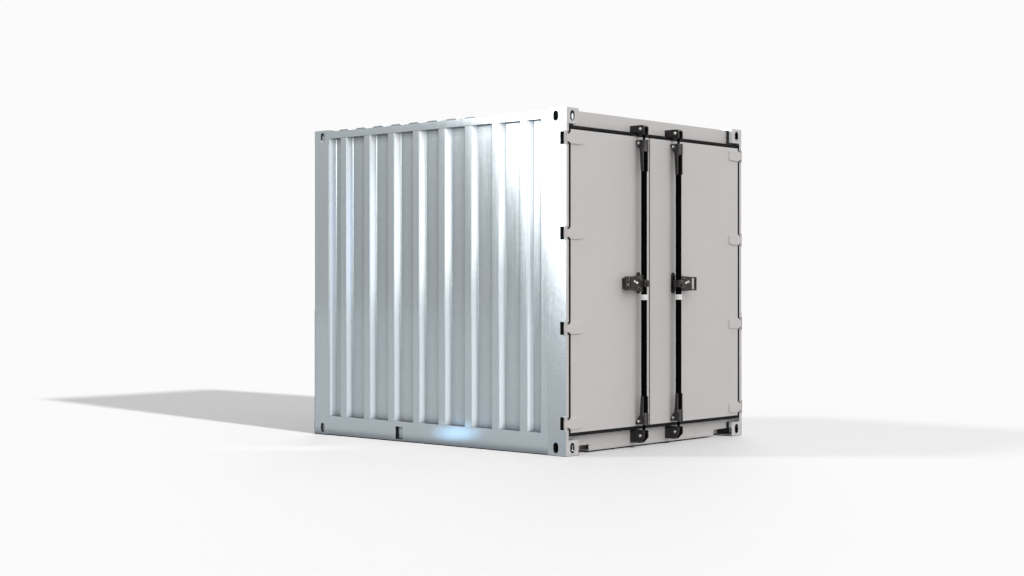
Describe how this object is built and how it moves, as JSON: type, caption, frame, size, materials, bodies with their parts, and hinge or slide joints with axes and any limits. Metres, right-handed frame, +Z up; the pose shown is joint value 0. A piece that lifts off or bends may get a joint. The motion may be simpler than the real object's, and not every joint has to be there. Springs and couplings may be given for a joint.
{
  "type": "shipping container",
  "caption": "Short steel shipping container with corrugated walls, hollow corner castings and two hinged door leaves with turning locking bars.",
  "frame": {"origin": "centre of the rectangle of the four bottom corner-fitting holes, on the ground", "axes": "+X along the container towards the doors, +Y to the right-hand side when facing the doors, +Z up"},
  "size_m": [2.904, 2.352, 2.591],
  "materials": {
    "galvanised_sheet": "smooth silver galvanised",
    "cast_steel": "satin grey",
    "door_paint": "matte light grey",
    "underframe_paint": "matte grey",
    "floor_wood": "oiled plywood",
    "seal_rubber": "matte black",
    "collar_plastic": "matte white",
    "bar_paint": "matte black",
    "gear_paint": "semi-gloss black",
    "pin_steel": "bare steel"
  },
  "bodies": {
    "container": {"casting_door_left_top": "cast_steel", "casting_door_left_bottom": "cast_steel", "casting_door_right_top": "cast_steel", "casting_door_right_bottom": "cast_steel", "casting_rear_left_top": "cast_steel", "casting_rear_left_bottom": "cast_steel", "casting_rear_right_top": "cast_steel", "casting_rear_right_bottom": "cast_steel", "door_post_left": "door_paint", "door_post_right": "door_paint", "rear_post_left": "galvanised_sheet", "rear_post_right": "galvanised_sheet", "rail_bottom_left": "galvanised_sheet", "rail_bottom_right": "galvanised_sheet", "rail_top_left": "galvanised_sheet", "rail_top_right": "galvanised_sheet", "wall_left": "galvanised_sheet", "wall_right": "galvanised_sheet", "hinge_pins_left": "pin_steel", "hinge_pins_right": "pin_steel", "door_header": "door_paint", "header_lip": "door_paint", "door_sill": "door_paint", "door_threshold": "door_paint", "sill_end_plates": "door_paint", "rail_top_rear": "galvanised_sheet", "rail_bottom_rear": "galvanised_sheet", "rear_head_seat": "galvanised_sheet", "rear_floor_seat": "galvanised_sheet", "wall_rear": "galvanised_sheet", "roof": "galvanised_sheet", "cross_members": "underframe_paint", "floor_boards": "floor_wood", "header_seal": "seal_rubber", "keepers_top": "gear_paint", "keepers_bottom": "gear_paint"},
    "left_door": {"leaf_panel_left": "door_paint", "leaf_frame_left": "door_paint", "leaf_seal_left": "seal_rubber", "hinge_blades_left": "door_paint", "bar_guides_left": "gear_paint", "handle_backplate_left": "gear_paint"},
    "left_bar": {"locking_bar_left": "bar_paint", "bar_collar_left": "collar_plastic", "handle_left": "gear_paint"},
    "right_door": {"leaf_panel_right": "door_paint", "leaf_frame_right": "door_paint", "leaf_seal_right": "seal_rubber", "hinge_blades_right": "door_paint", "bar_guides_right": "gear_paint", "handle_backplate_right": "gear_paint"},
    "right_bar": {"locking_bar_right": "bar_paint", "bar_collar_right": "collar_plastic", "handle_right": "gear_paint"}
  },
  "joints": [
    {"name": "left_door_swing", "type": "hinge", "parent": "container", "child": "left_door", "pos_m": [1.392, -1.163, 1.3], "axis": [0, 0, -1], "range_deg": [0, 240]},
    {"name": "right_door_swing", "type": "hinge", "parent": "container", "child": "right_door", "pos_m": [1.392, 1.163, 1.3], "axis": [0, 0, 1], "range_deg": [0, 240]},
    {"name": "left_bar_turn", "type": "hinge", "parent": "left_door", "child": "left_bar", "pos_m": [1.46, -0.288, 1.3], "axis": [0, 0, 1], "range_deg": [0, 120]},
    {"name": "right_bar_turn", "type": "hinge", "parent": "right_door", "child": "right_bar", "pos_m": [1.46, 0.171, 1.3], "axis": [0, 0, -1], "range_deg": [0, 120]}
  ]
}
